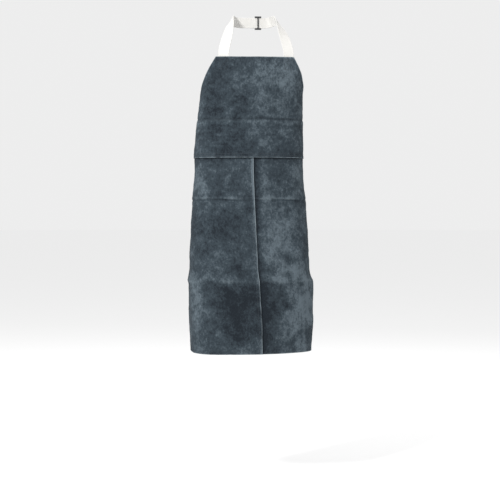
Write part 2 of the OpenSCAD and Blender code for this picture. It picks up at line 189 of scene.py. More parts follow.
def painted_light_and_nap(s, v):
    """Painted light and shade from the creases, the folds and the hang, with pale and dark nap, about -0.5 to
    0.5.
    """
    first, second, third = from_creases(s, v)
    broken = np.clip(0.6 + 0.8 * waves(s, 0 * s, 44, 5, 40, 200), 0, 1)
    # Painted shade in the first crease, and a painted highlight on the ridge just below it
    fold = (0.2 + 0.3 * np.clip(s / 60, 0, 1)) * bell(first, 2.4) * (0.3 + 0.7 * broken)
    tone = 0.14 * bell(first - 11, 7) - fold
    # Painted highlight just above the second crease and painted shade just below it
    tone = tone + (0.24 * bell(second + 3, 2.8) - 0.22 * bell(second - 1.5, 2.8)) * broken
    below = 1 / (1 + np.exp(-third / 2.5))
    # Painted highlight above the third crease and broad painted shade below it, across the middle
    tone = tone + 0.12 * bell(third + 10, 14) - 0.14 * below * bell(third, 90) * bell(np.abs(s) - 60, 90)
    ragged = 1 + 0.35 * waves(s, v, 50, 8, 30, 120)
    # Soft patches of painted light and shade mixed with pale and dark nap, from the listed table
    for at_s, at_v, wide, high, amount in PAINTED_LIGHT_AND_NAP:
        tone = tone + amount * bell(s - at_s, wide * ragged) * bell(v - at_v, high * ragged)
    # Pale and dark streaks low on the right, and painted light and shade across fine sideways wrinkles
    streaks = waves(s, v * 0.06, 63, 9, 9, 34) * bell(s - 165, 55) * bell(v - 790, 115)
    wrinkles = waves(s * 0.12, v, 64, 9, 7, 26) * bell(v - 225, 75)
    # The relief term paints highlights on raised folds and shade in their hollows
    return tone + 0.13 * streaks + 0.09 * wrinkles + 0.02 * relief(s, v)


def bib_lift(s, v):
    """How far the bib's lower edge curls off the skirt, most of all where it crosses the centre lap."""
    front = 1 - 0.75 * np.clip((np.abs(s) - 110) / 70, 0, 1)
    return 2.2 * front * np.exp(-(BIB_HEIGHT - v) / 6) + 1.1 * bell(s - 4, 16) * bell(v - BIB_HEIGHT, 16)


def lap_lift(s, v):
    """How far the left panel's free edge curls off the right panel."""
    from_edge = seam_s(v) + CENTRE_LAP / 2 - s
    return 2.2 * np.exp(-np.maximum(from_edge, 0) / 4.5) * np.clip((v - SKIRT_TOP) / 30, 0, 1)


def lap_behind(s, v):
    """How far the right panel's edge is stepped in behind the left panel."""
    past = np.clip((s - seam_s(v) - CENTRE_LAP / 2) / 14, 0, 1)
    return LAP_STEP * (1 - past ** 2 * (3 - 2 * past))


def on_apron(s, v, out=0.0, shaped=True):
    """Points at (s, v) on the apron, moved out from its middle surface."""
    s, v, out = np.broadcast_arrays(*(np.asarray(a, float) for a in (s, v, out)))
    x, y, heading = section(np.abs(s), v)
    away = out + (relief(s, v) if shaped else 0)
    x = np.sign(s) * (x + away * np.sin(heading))
    y = y - away * np.cos(heading) + eased(FRONT_DEPTH, v) - TURN_DEPTH
    turn = np.radians(HEM_TURN) * np.clip((v - BELT_LOW) / (LENGTH - BELT_LOW), 0, 1)
    shift = MIDDLE_X + eased(SIDE_SHIFT, v)
    return np.stack([x * np.cos(turn) - y * np.sin(turn) + shift,
                     x * np.sin(turn) + y * np.cos(turn) + TURN_DEPTH + FRONT_Y, TOP_Z - v], axis=-1)


def armhole(v):
    """Half width of the bib at v: a quadratic curve, then the straight side."""
    a, b = ARMHOLE_END - 2 * ARMHOLE_MID[1], 2 * ARMHOLE_MID[1]
    t = (np.sqrt(b * b + 4 * a * np.minimum(v, ARMHOLE_END)) - b) / (2 * a)
    t = np.where(v >= ARMHOLE_END, 1, t)
    return (1 - t) ** 2 * BIB_TOP_HALF + 2 * t * (1 - t) * ARMHOLE_MID[0] + t * t * HALF_WIDTH


def seam_s(v):
    """Where the centre seam runs: it drifts a little towards the hem."""
    return SEAM_DRIFT * np.clip((v - BIB_HEIGHT) / (LENGTH - BIB_HEIGHT), 0, 1)


# ---- Meshes

def mesh_object(name, points, faces, uvs=None, values=None):
    """A mesh object from points in millimetres; uvs and values hold one row for each point."""
    mesh = bpy.data.meshes.new(name)
    mesh.from_pydata((np.asarray(points) * MM).tolist(), [], faces)
    if uvs is not None:
        corner = np.zeros(len(mesh.loops), np.int32)
        mesh.loops.foreach_get("vertex_index", corner)
        layer = mesh.uv_layers.new(name="flat")
        layer.data.foreach_set("uv", np.asarray(uvs, np.float32)[corner].ravel())
    for key, value in (values or {}).items():
        layer = mesh.attributes.new(key, "FLOAT", "POINT")
        layer.data.foreach_set("value", np.asarray(value, np.float32))
    mesh.shade_smooth()
    obj = bpy.data.objects.new(name, mesh)
    bpy.context.scene.collection.objects.link(obj)
    return obj


def outward(obj):
    """Turns a closed mesh's faces outwards."""
    work = bmesh.new()
    work.from_mesh(obj.data)
    bmesh.ops.recalc_face_normals(work, faces=work.faces)
    work.to_mesh(obj.data)
    work.free()
    return obj


def leather_sheet(name, s, v, outer_out, inner_out, uv_shift, soil_and_painted_light):
    """A sheet of leather over a grid of s and v, with a rounded raw edge and its flat pattern as UVs."""
    rows, cols = s.shape
    outer, inner = on_apron(s, v, outer_out), on_apron(s, v, inner_out)
    index = np.arange(rows * cols).reshape(rows, cols)
    loop = np.concatenate([index[0, :-1], index[:-1, -1], index[-1, :0:-1], index[:0:-1, 0]])
    within = np.concatenate([index[1, :-1], index[:-1, -2], index[-2, :0:-1], index[:0:-1, 1]])
    flat_outer, flat_inner = outer.reshape(-1, 3), inner.reshape(-1, 3)
    middle = (flat_outer + flat_inner) / 2
    away = middle[loop] - middle[within]
    away /= np.maximum(np.linalg.norm(away, axis=1, keepdims=True), 1e-9)
    fuzz = 0.5 + 0.13 * waves(s.ravel()[loop], v.ravel()[loop], 61, 8, 9, 70)
    rim = middle[loop] + away * fuzz[:, None]
    count = rows * cols
    a, b, c, d = index[:-1, :-1], index[1:, :-1], index[1:, 1:], index[:-1, 1:]
    front = np.stack([a, b, c, d], axis=-1).reshape(-1, 4)
    back = front[:, ::-1] + count
    ring = np.arange(len(loop)) + 2 * count
    after, ring_after = np.roll(loop, -1), np.roll(ring, -1)
    rim_outer = np.stack([loop, after, ring_after, ring], axis=-1)
    rim_inner = np.stack([ring, ring_after, after + count, loop + count], axis=-1)
    faces = np.concatenate([front, back, rim_outer, rim_inner]).tolist()
    edge = np.minimum(np.minimum(s - s[:, :1], s[:, -1:] - s), np.minimum(v - v[0, 0], v[-1, 0] - v))
    edge = np.concatenate([edge.ravel(), edge.ravel(), -np.ones(len(loop))])
    all_s, all_v, all_painted_light = (np.concatenate([g.ravel(), g.ravel(), g.ravel()[loop]])
                                for g in (s, v, soil_and_painted_light))
    uvs = np.stack([all_s * MM + uv_shift, -all_v * MM], axis=-1)
    # Rubbed nap along the packing creases, set on their lit sides as a painted highlight
    rub = np.zeros_like(all_s)
    for i, (crease, width, weight) in enumerate(zip(CREASES, (5, 4, 4.5), (0.55, 0.9, 1.0))):
        offset = (2.0, -4.0, -1.0)[i]
        rub = rub + weight * bell(all_v - crease - crease_wander(all_s, i) - offset, width)
    face = np.concatenate([np.zeros(count), np.ones(count), np.full(len(loop), 0.5)])
    # Painted light and shade for the colour: creases, folds, hang and each panel's painted shadows and
    # highlights, with pale and dark nap
    shade = painted_light_and_nap(all_s, all_v) + all_painted_light
    return outward(mesh_object(name, np.concatenate([flat_outer, flat_inner, rim]), faces, uvs,
                               {"edge": edge, "rub": rub, "inside": face, "shade": shade}))


def swept(name, middle, wide, out, profile, uv_shift=0.0):
    """A closed solid swept along points; wide and out are each ring's two directions, profile its outline."""
    rings, count = len(middle), len(profile)
    across, through = profile[:, 0], profile[:, 1]
    points = middle[:, None] + wide[:, None] * across[:, None] + out[:, None] * through[:, None]
    index = np.arange(rings * count).reshape(rings, count)
    turned = np.roll(index, -1, axis=1)
    faces = np.stack([index[:-1], turned[:-1], turned[1:], index[1:]], axis=-1).reshape(-1, 4).tolist()
    faces += [index[0, ::-1].tolist(), index[-1].tolist()]
    run = np.concatenate([[0], np.cumsum(np.linalg.norm(np.diff(middle, axis=0), axis=1))])
    uvs = np.stack(np.broadcast_arrays(across[None] * MM, run[:, None] * MM + uv_shift), axis=-1)
    return outward(mesh_object(name, points.reshape(-1, 3), faces, uvs.reshape(-1, 2)))


def evenly(points, step):
    """Points a step apart along a line, and each one's place along the given list."""
    run = np.concatenate([[0], np.cumsum(np.linalg.norm(np.diff(points, axis=0), axis=1))])
    spots = np.linspace(0, run[-1], max(2, round(run[-1] / step)) + 1)
    return np.stack([np.interp(spots, run, points[:, k]) for k in range(points.shape[1])], axis=1), \
        np.interp(spots, run, np.arange(len(points)))


def through_points(points, per_span=12):
    """A smooth curve through every point of a given list."""
    p = np.asarray(points, float)
    spans = []
    for i in range(len(p) - 1):
        p0, p1, p2, p3 = p[max(i - 1, 0)], p[i], p[i + 1], p[min(i + 2, len(p) - 1)]
        t = np.linspace(0, 1, per_span, endpoint=False)[:, None]
        spans.append(0.5 * (2 * p1 + (p2 - p0) * t + (2 * p0 - 5 * p1 + 4 * p2 - p3) * t ** 2
                            + (3 * p1 - p0 - 3 * p2 + p3) * t ** 3))
    return np.concatenate([*spans, p[-1:]])


def unit(vectors):
    return vectors / np.linalg.norm(vectors, axis=-1, keepdims=True)


def applied(obj):
    """The object with its modifiers worked into its mesh."""
    mesh = bpy.data.meshes.new_from_object(obj.evaluated_get(bpy.context.evaluated_depsgraph_get()))
    obj.modifiers.clear()
    obj.data = mesh
    return obj


def finish_piece(obj, body, slot, material, *nodes):
    """Puts the material on, ties the piece to its body, and hides the nodes that it stands for."""
    obj.data.materials.clear()
    obj.data.materials.append(material)
    if body:
        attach(obj, body)
    if nodes:
        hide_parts(*nodes)
    return obj


# ---- Materials

class Value:
    """A shader socket that Python arithmetic works on."""

    def __init__(self, graph, socket):
        self.graph, self.socket = graph, socket

    def maths(self, operation, *inputs):
        return self.graph.node("ShaderNodeMath", {"operation": operation}, dict(enumerate(inputs)))

    def __add__(self, other):
        return self.maths("ADD", self, other)

    def __sub__(self, other):
        return self.maths("SUBTRACT", self, other)

    def __rsub__(self, other):
        return self.maths("SUBTRACT", other, self)

    def __mul__(self, other):
        return self.maths("MULTIPLY", self, other)

    __radd__, __rmul__ = __add__, __mul__

    def sine(self):
        return self.maths("SINE", self)

    def absolute(self):
        return self.maths("ABSOLUTE", self)

    def between(self, low, high):
        """0 at low, 1 at high, smooth in between."""
        return self.graph.node("ShaderNodeMapRange", {"interpolation_type": "SMOOTHSTEP"},
                               {"Value": self, "From Min": low, "From Max": high})


def add_node(tree, kind, settings=None, inputs=None):
    """Makes a node: settings first, then its sockets' values or links."""
    made = tree.nodes.new(kind)
    for key, value in (settings or {}).items():
        if key == "stops":
            ramp = made.color_ramp
            while len(ramp.elements) < len(value):
                ramp.elements.new(1.0)
            for element, (place, colour) in zip(ramp.elements, value):
                element.position, element.color = place, (*colour, 1)
        else:
            setattr(made, key, value)
    for key, value in (inputs or {}).items():
        socket = made.inputs[key]
        if isinstance(value, Value):
            value = value.socket
        if isinstance(value, bpy.types.NodeSocket):
            tree.links.new(value, socket)
        else:
            socket.default_value = (*value, 1) if socket.type == "RGBA" else value
    return made


class Graph:
    """A material's node tree."""

    def __init__(self, name):
        self.material = bpy.data.materials.new(name)
        self.material.use_nodes = True
        self.tree = self.material.node_tree
        self.tree.nodes.clear()

    def node(self, kind, settings=None, inputs=None, output=0):
        made = add_node(self.tree, kind, settings, inputs)
        return Value(self, made.outputs[output]) if made.outputs else None

    def noise(self, vector, scale, detail=4, rough=0.55, warp=0.0):
        return self.node("ShaderNodeTexNoise", {}, {"Vector": vector, "Scale": scale, "Detail": detail,
                                                    "Roughness": rough, "Distortion": warp})

    def blend(self, factor, a, b):
        """Colour a where factor is 0, b where it is 1."""
        return self.node("ShaderNodeMix", {"data_type": "RGBA"}, {0: factor, 6: a, 7: b}, output=2)

    def stretched(self, vector, scale):
        return self.node("ShaderNodeMapping", {}, {"Vector": vector, "Scale": scale})

    def surface(self, colour, roughness, height=None, depth=0.0, **fixed):
        """The finished surface; height is in units of depth, in metres."""
        inputs = {"Base Color": colour, "Roughness": roughness}
        if height is not None:
            inputs["Normal"] = self.node("ShaderNodeBump", {}, {"Height": height, "Distance": depth})
        inputs.update({key.replace("_", " "): value for key, value in fixed.items()})
        shader = self.node("ShaderNodeBsdfPrincipled", {}, inputs)
        self.node("ShaderNodeOutputMaterial", {}, {"Surface": shader})
        return self.material


def suede_leather(look):
    """Split leather: mottled dye, brushed nap, paler raw edges, rubbed folds with a painted highlight, and
    painted light and shade from the shade attribute.
    """
    g = Graph("suede_leather")
    flat = g.node("ShaderNodeUVMap", {"uv_map": "flat"})
    edge, rub, inside, shade = (g.node("ShaderNodeAttribute", {"attribute_name": key}, output=2)
                                for key in ("edge", "rub", "inside", "shade"))
    clouds = g.noise(flat, 5, 3, 0.5, 0.3)
    patches = g.noise(flat, 15, 5, 0.6, 0.5)
    blotches = g.noise(flat, 46, 5, 0.65, 0.4)
    dapples = g.noise(g.stretched(flat, (170, 105, 1)), 1, 4, 0.65, 0.3)
    nap = g.noise(flat, 240, 4, 0.8)
    fibre = g.noise(g.stretched(flat, (1300, 600, 1)), 1, 2, 0.7)
    tone = (clouds - 0.5) * 0.6 + (patches - 0.5) * 1.1 + (blotches - 0.5) * 0.95 + (dapples - 0.5) * 0.9
    # shade brings in the painted light and shade
    tone = tone + (nap - 0.5) * 0.5 + shade + 0.47
    colour = g.node("ShaderNodeValToRGB", {"stops": (
        (0.08, look.dark), (0.5, look.body), (0.9, look.light))}, {"Fac": tone})
    speck = (nap - 0.5) + (fibre - 0.5) * 0.8
    colour = g.blend(speck.between(0.02, 0.4) * 0.26, colour, look.light)
    colour = g.blend((0 - speck).between(0.02, 0.4) * 0.3, colour, look.dark)
    # Rubbed nap on the packing creases, which is also a painted highlight there
    worn_and_highlit = rub * patches.between(0.36, 0.66) * blotches.between(0.25, 0.6)
    colour = g.blend(worn_and_highlit * 0.25, colour, look.rubbed_and_highlight)
    # Paler raw edges, made brighter still where shade paints light
    raw = (1 - edge.between(0.3, 3.2)) * (0.3 + blotches.between(0.35, 0.65) * 0.5 + shade * 0.5)
    raw = raw.between(0, 1)
    colour = g.blend(raw, colour, look.raw_edge)
    colour = g.blend(inside * 0.3, colour, look.light)
    height = nap * 0.5 + fibre * 0.25 + dapples * 0.9 + blotches * 1.3 + patches * 1.6
    return g.surface(colour, 0.94 - worn_and_highlit * 0.14, height, 0.0024, Sheen_Weight=0.08, Sheen_Roughness=0.6,
                     Sheen_Tint=look.light, Specular_IOR_Level=0.12)


def woven_webbing(look):
    """Plain-woven webbing with firm edges, from the strap's own UVs: across, then along."""
    g = Graph("woven_webbing")
    flat = g.node("ShaderNodeUVMap", {"uv_map": "flat"})
    split = add_node(g.tree, "ShaderNodeSeparateXYZ", {}, {0: flat})
    across, along = (Value(g, socket) for socket in split.outputs[:2])
    warp = (across * (math.pi / 0.0016)).sine()
    weft = (along * (math.pi / 0.0013)).sine()
    over = warp * weft
    threads = warp.absolute() * 0.4 + weft.absolute() * 0.35 + over * 0.3
    soil = g.noise(flat, 38, 5, 0.6)
    fibre = g.noise(g.stretched(flat, (2600, 900, 1)), 1, 2, 0.7)
    colour = g.blend(threads.between(-0.1, 0.75), look.shadow, look.colour)
    colour = g.blend(soil.between(0.5, 0.75) * 0.35, colour, look.soil_and_painted_light)
    colour = g.blend(fibre.between(0.55, 0.8) * 0.25, colour, look.shadow)
    return g.surface(colour, 0.86, threads + fibre * 0.3, 0.00035, Sheen_Weight=0.3,
                     Sheen_Roughness=0.4, Specular_IOR_Level=0.25)


def sewing_thread(look):
    """Waxed thread with its twist."""
    g = Graph("sewing_thread")
    where = g.node("ShaderNodeTexCoord", {}, output=3)
    ply = g.noise(where, 2600, 2, 0.6)
    colour = g.blend(ply.between(0.35, 0.65), look.dark, look.colour)
    return g.surface(colour, 0.62, ply, 0.0002, Specular_IOR_Level=0.35)


def moulded_plastic(look):
    """Black moulded acetal with a fine spark-eroded grain and a little scuffing."""
    g = Graph("moulded_plastic")
    where = g.node("ShaderNodeTexCoord", {}, output=3)
    grain = g.noise(where, 2400, 3, 0.6)
    scuff = g.noise(g.stretched(where, (900, 120, 300)), 1, 4, 0.6)
    colour = g.blend(scuff.between(0.58, 0.72) * 0.35, look.colour, look.scuffed)
    return g.surface(colour, 0.42 + scuff * 0.2, grain, 0.00012, Specular_IOR_Level=0.45)


# ---- Stitching: a Geometry Nodes tree lays one stitch after another along a line

def stitch_tree(material):
    tree = bpy.data.node_groups.new("stitches", "GeometryNodeTree")
    face = tree.interface
    face.new_socket("Geometry", in_out="INPUT", socket_type="NodeSocketGeometry")
    for title, value in (("Pitch", 0.0036), ("Stitch", 0.0029), ("Thread", 0.0009)):
        face.new_socket(title, in_out="INPUT", socket_type="NodeSocketFloat").default_value = value
    face.new_socket("Geometry", in_out="OUTPUT", socket_type="NodeSocketGeometry")

    def node(kind, inputs=None, **settings):
        return add_node(tree, kind, settings, inputs)

    given = node("NodeGroupInput").outputs
    line = node("GeometryNodeMeshToCurve", {"Mesh": given["Geometry"]})
    spots = node("GeometryNodeCurveToPoints", {"Curve": line.outputs[0], "Length": given["Pitch"]},
                 mode="LENGTH")
    turn = node("FunctionNodeAlignRotationToVector", {"Vector": spots.outputs["Tangent"]}, axis="Z")
    ball = node("GeometryNodeMeshUVSphere", {"Segments": 8, "Rings": 6, "Radius": 0.5})
    size = node("ShaderNodeCombineXYZ", {"X": given["Thread"], "Y": given["Thread"], "Z": given["Stitch"]})
    stitch = node("GeometryNodeTransform", {"Geometry": ball.outputs["Mesh"], "Scale": size.outputs[0]})
    laid = node("GeometryNodeInstanceOnPoints", {"Points": spots.outputs["Points"],
                                                 "Instance": stitch.outputs[0],
                                                 "Rotation": turn.outputs[0]})
    real = node("GeometryNodeRealizeInstances", {"Geometry": laid.outputs[0]})
    smooth = node("GeometryNodeSetShadeSmooth", {"Geometry": real.outputs[0]})
    done = node("GeometryNodeSetMaterial", {"Geometry": smooth.outputs[0], "Material": material})
    node("NodeGroupOutput", {"Geometry": done.outputs[0]})
    return tree


def stitched(name, lines, tree, pitch, length, thread):
    """Rows of stitches along lines of points in millimetres, as one plain mesh."""
    points = np.concatenate(lines)
    starts = np.cumsum([0] + [len(line) for line in lines])
    edges = [(i, i + 1) for a, b in zip(starts, starts[1:]) for i in range(a, b - 1)]
    mesh = bpy.data.meshes.new(name)
    mesh.from_pydata((points * MM).tolist(), edges, [])
    obj = bpy.data.objects.new(name, mesh)
    bpy.context.scene.collection.objects.link(obj)
    modifier = obj.modifiers.new("stitches", "NODES")
    modifier.node_group = tree
    sockets = {s.name: s.identifier for s in tree.interface.items_tree if s.in_out == "INPUT"}
    for title, value in (("Pitch", pitch), ("Stitch", length), ("Thread", thread)):
        modifier[sockets[title]] = value
    return applied(obj)


# ---- Webbing

STRAP_S, STRAP_SHIFT = 99.0, 4.0
TAIL_LENGTH = 42.0
TAIL_TOP = -3.0
STRAP_START = -12.0
BELT_T = 2.0
TAIL_GAP, BELT_GAP = 0.5, 0.8
TAIL_OUT = BIB_LAYER[0] - TAIL_GAP - BELT_T / 2
# From the webbing's middle to stitches on its inner face
WEBBING_FACE = 0.95
# The neck strap's middle line on the viewer's right, and which way its outer edge points
STRAP_ROUTE = ((96, -134, -92), (88, -124, -62), (80, -103, -32), (74, -76, -9), (69, -46, 2),
               (62, -19, 3), (51, -2, 1), (40, 1, 0), (26, 1, 0))
STRAP_LIE = ((0.99, 0.14, 0), (0.96, 0.24, -0.12), (0.84, 0.36, -0.4), (0.62, 0.25, -0.74),
             (0.45, 0.12, -0.88), (0.28, 0.2, -0.94), (0, 0, -1), (0, 0, -1), (0, 0, -1))


def webbing_profile(width, thickness):
    """The strap's outline: flat faces, thicker woven edges, round sides."""
    half, t = width / 2, thickness / 2
    across = np.array([-1, -0.985, -0.95, -0.89, -0.84, -0.6, -0.3, 0, 0.3, 0.6, 0.84, 0.89, 0.95, 0.985, 1])
    height = np.array([0.1, 0.62, 0.98, 1.0, 0.84, 0.84, 0.84, 0.84, 0.84, 0.84, 0.84, 1.0, 0.98, 0.62, 0.1])
    top = np.stack([across * half, height * t], axis=1)
    bottom = np.stack([across[::-1] * half, -height[::-1] * t], axis=1)
    return np.concatenate([top, bottom])


def webbing(name, middle, wide, width, thickness, uv_shift=0.0, soften=0):
    """A webbing strip along points, with fine cross ribs; wide says which way its width runs."""
    line, place = evenly(middle, 1.3)
    for _ in range(soften):
        line[1:-1] = (line[:-2] + 2 * line[1:-1] + line[2:]) / 4
    lie = np.stack([np.interp(place, np.arange(len(middle)), wide[:, k]) for k in range(3)], axis=1)
    ahead = unit(np.gradient(line, axis=0))
    out = unit(np.cross(lie, ahead))
    lie = np.cross(ahead, out)
    rib = 1 + 0.05 * np.where(np.arange(len(line)) % 2, 1, -1)[:, None]
    rib[[0, -1]] = 0.6
    return swept(name, line, lie, out * rib, webbing_profile(width, thickness), uv_shift)


def heading_at(s, v):
    """Which way the leather runs sideways, taken on the viewer's right."""
    turn = section(np.abs(np.asarray(s, float)), np.asarray(v, float))[2]
    return np.array([np.cos(turn), np.sin(turn), 0])


def neck_half(side):
    """One sewn tail and half of the loop, from the tail's lower end to the back of the neck."""
    s = side * STRAP_S + STRAP_SHIFT
    v = np.array([TAIL_LENGTH, 30, 18, 6, TAIL_TOP, -7.5, STRAP_START])
    stand = on_apron(s, 0.0, TAIL_OUT) - on_apron(s, 0.0, TAIL_OUT, shaped=False)
    share = np.clip(1 - v / STRAP_START, 0, 1)
    tail = [on_apron(s, a, TAIL_OUT) if a > -5 else on_apron(s, a, TAIL_OUT, shaped=False) + stand * f
            for a, f in zip(v, share)]
    lie = [side * heading_at(s, max(a, 0.0)) * (1, side, 1) for a in v]
    flip = np.array([side, 1, 1])
    return np.array([*tail, *(np.array(STRAP_ROUTE) * flip)]), np.array([*lie, *(np.array(STRAP_LIE) * flip)])


def neck_line():
    """The whole neck strap's middle line, and which way its outer edge points."""
    (right, right_lie), (left, left_lie) = neck_half(1), neck_half(-1)
    return np.concatenate([right, left[::-1]]), np.concatenate([right_lie, left_lie[::-1]])


# ---- Belt

BELT_Z = TOP_Z - BELT_V
BELT_OUT = SKIRT_LAYER[0] - BELT_GAP - BELT_T / 2
BELT_TAB = 44.0
BACK_X = 92.0
BUCKLE_W, BUCKLE_T = 42.0, 11.0
BACK_Y = box_mm("buckle_plug")[LOW][Y] + BUCKLE_T / 2
BAR_R = 1.9
SOCKET_BAR_X, PLUG_BAR_X = -36.0, 22.0
SOCKET_FOLD, PLUG_FOLD = 36, 62
FOLD_GAP = 0.1


def belt_line(side, bar_x, fold):
    """One belt strap's middle line: sewn tab, bend, straight back, round the bar, folded end."""
    tab = np.arange(HALF_WIDTH - BELT_TAB, HALF_WIDTH, 4.0)
    points = [on_apron(side * s, BELT_V, BELT_OUT, shaped=s < HALF_WIDTH - 12) for s in tab]
    x, y, heading = section(np.array(HALF_WIDTH), np.array(BELT_V))
    x = x + BELT_OUT * math.sin(heading)
    y = y - BELT_OUT * math.cos(heading) + FRONT_Y
    radius = (x - BACK_X) / math.sin(heading)
    for a in np.linspace(heading, math.pi, 12):
        points.append([MIDDLE_X + side * (x - radius * (math.sin(heading) - math.sin(a))),
                       y + radius * (math.cos(heading) - math.cos(a)), BELT_Z])
    eye, layer = BAR_R + 0.3 + BELT_T / 2, BELT_T + FOLD_GAP
    round_bar = np.radians(np.linspace(-80, 80, 9))
    past_bar = [(40, 0), (18, -0.1), (9, -0.9), (3.5, -eye * 0.9),
                *zip(-eye * np.cos(round_bar), eye * np.sin(round_bar)),
                (5, eye * 0.9), (11, layer + 0.2), (18, layer), (fold, layer)]
    points += [[MIDDLE_X + side * (bar_x + x), BACK_Y + y, BELT_Z] for x, y in past_bar]
    return through_points(points, 6)


# ---- Moulded fittings

def block(name, low, high):
    """A plain block between two corners, to be cut or joined."""
    corners = [(x, y, z) for x in (low[0], high[0]) for y in (low[1], high[1]) for z in (low[2], high[2])]
    faces = [(0, 1, 3, 2), (4, 6, 7, 5), (0, 4, 5, 1), (2, 3, 7, 6), (0, 2, 6, 4), (1, 5, 7, 3)]
    return outward(mesh_object(name, corners, faces))


def rod(name, centre, radius, half_length, sides=24):
    """A round bar that stands along Z."""
    turn = np.linspace(0, 2 * math.pi, sides, endpoint=False)
    ring = np.stack([np.cos(turn) * radius, np.sin(turn) * radius], axis=1) + np.array(centre[:2])
    points = [(*p, centre[2] + z) for z in (-half_length, half_length) for p in ring]
    faces = [(i, (i + 1) % sides, sides + (i + 1) % sides, sides + i) for i in range(sides)]
    faces += [tuple(range(sides)), tuple(range(sides, 2 * sides))]
    return outward(mesh_object(name, points, faces))


def prism(name, outline, y_low, y_high):
    """An outline in X and Z, given depth along Y."""
    n = len(outline)
    points = [(x, y, z) for y in (y_low, y_high) for x, z in outline]
    faces = [tuple(range(n)), tuple(range(n, 2 * n))]
    faces += [(i, (i + 1) % n, n + (i + 1) % n, n + i) for i in range(n)]
    return outward(mesh_object(name, points, faces))


def cut_and_joined(name, base, joined=(), cut=(), round_mm=0.5, at=(0, 0, 0), segments=3):
    """One moulding from simple solids, with its edges rounded, moved to its place."""
    for operation, others in (("UNION", joined), ("DIFFERENCE", cut)):
        for other in others:
            step = base.modifiers.new("solid", "BOOLEAN")
            step.operation, step.object, step.solver = operation, other, "EXACT"
    applied(base)
    rounding = base.modifiers.new("rounding", "BEVEL")
    rounding.width, rounding.segments, rounding.limit_method = round_mm * MM, segments, "ANGLE"
    rounding.angle_limit = math.radians(35)
    rounding.use_clamp_overlap = True
    applied(base)
    for other in (*joined, *cut):
        bpy.data.objects.remove(other)
    base.name = name
    base.data.transform(Matrix.Translation(Vector(at) * MM))
    base.data.shade_smooth()
    base.data.set_sharp_from_angle(angle=math.radians(50))
    return base


BUCKLE_AT = (MIDDLE_X, BACK_Y, BELT_Z)
WALL = 2.0
CAVITY_W, CAVITY_T = 34.0, BUCKLE_T - 2 * WALL
SOCKET_MOUTH, SOCKET_LENGTH = 4.0, 34.0
WINDOW = (-18.0, -1.0)
PLUG_FACE, PLUG_DEPTH = 6.0, 10.0
TONGUE_END, TONGUE_W = -24.0, 8.0
PRONG_T = 5.0
KEEPER_WALL = 1.8
RAIL_T, SLIDER_BAR_T, SLIDER_BAR_L = 4.0, 2.0, 4.0


def mirrored(side):
    """A closed outline from its upper half."""
    return side + [(x, -z) for x, z in side[::-1]]


def webbing_bar(from_x, bar_x):
    """Two arms and a round bar: what the belt's webbing folds over."""
    arm, tip, half_t = 4.0, 2.4, 2.0
    low, high = min(from_x, bar_x - tip), max(from_x, bar_x + tip)
    arms = [block("arm", (low, -half_t, z), (high, half_t, z + arm))
            for z in (-BUCKLE_W / 2, BUCKLE_W / 2 - arm)]
    return [*arms, rod("bar", (bar_x, 0, 0), BAR_R, BUCKLE_W / 2 - 1)]


# ---- What a user would change

def colour_setting(name, about, value):
    return bpy.props.FloatVectorProperty(name=name, description=about, size=3, subtype="COLOR",
                                         default=value)


def length_setting(name, about, value, low, high):
    return bpy.props.FloatProperty(name=name, description=about, default=value, min=low, max=high,
                                   unit="LENGTH")


def angle_setting(name, about, degrees):
    return bpy.props.FloatProperty(name=name, description=about, default=math.radians(degrees),
                                   subtype="ANGLE")


class LeatherLook(bpy.types.PropertyGroup):
    body: colour_setting("Leather", "Main dye colour", (0.033, 0.045, 0.055))
    # The brushed and dark leather colours are also where the painted light and painted shade from shade end
    # up
    light: colour_setting("Brushed leather", "Where the nap lies pale", (0.094, 0.119, 0.138))
    dark: colour_setting("Dark leather", "Where the dye took deepest", (0.011, 0.015, 0.020))
    # The rubbed folds' colour is also a painted highlight along the creases
    rubbed_and_highlight: colour_setting("Rubbed folds", "Along the packing folds", (0.120, 0.148, 0.165))
    raw_edge: colour_setting("Raw edge", "Cut edges of the leather", (0.165, 0.200, 0.222))
    grid: length_setting("Mesh spacing", "Distance between mesh points", 0.003, 0.002, 0.02)


class WebbingLook(bpy.types.PropertyGroup):
    colour: colour_setting("Webbing", "Colour of the yarn", (0.70, 0.69, 0.665))
    shadow: colour_setting("Between yarns", "Colour between the yarns", (0.44, 0.43, 0.41))
    soil_and_painted_light: colour_setting("Handled", "Faint handling marks", (0.58, 0.565, 0.53))
    width: length_setting("Width", "Width of the webbing", 0.032, 0.025, 0.038)
    thickness: length_setting("Thickness", "Thickness of the webbing", 0.002, 0.0012, 0.0025)


class ThreadLook(bpy.types.PropertyGroup):
    colour: colour_setting("Thread", "Colour of the thread", (0.050, 0.060, 0.072))
    dark: colour_setting("Thread shadow", "Between the plies", (0.018, 0.022, 0.028))
    pitch: length_setting("Stitch pitch", "From one stitch to the next", 0.0036, 0.002, 0.008)
    thread: length_setting("Thread width", "Thickness of the thread", 0.0009, 0.0005, 0.0015)


class FittingLook(bpy.types.PropertyGroup):
    colour: colour_setting("Plastic", "Colour of the fittings", (0.018, 0.019, 0.021))
    scuffed: colour_setting("Scuffs", "Where the plastic is scuffed", (0.075, 0.078, 0.082))


class StageLook(bpy.types.PropertyGroup):
    ground: length_setting("Ground", "Height of the ground under the wearer", -1.426, -2, -1.05)
    distance: length_setting("Camera distance", "From camera to apron", 4.09, 1, 10)
    azimuth: angle_setting("Camera azimuth", "Turn about the apron", -5)
    elevation: angle_setting("Camera elevation", "Height angle", 2)
    view_angle: angle_setting("View angle", "The camera's field of view", 21.35)


LOOKS = {"apron_leather": LeatherLook, "apron_webbing": WebbingLook, "apron_thread": ThreadLook,
         "apron_fittings": FittingLook, "apron_stage": StageLook}


# ---- Operators

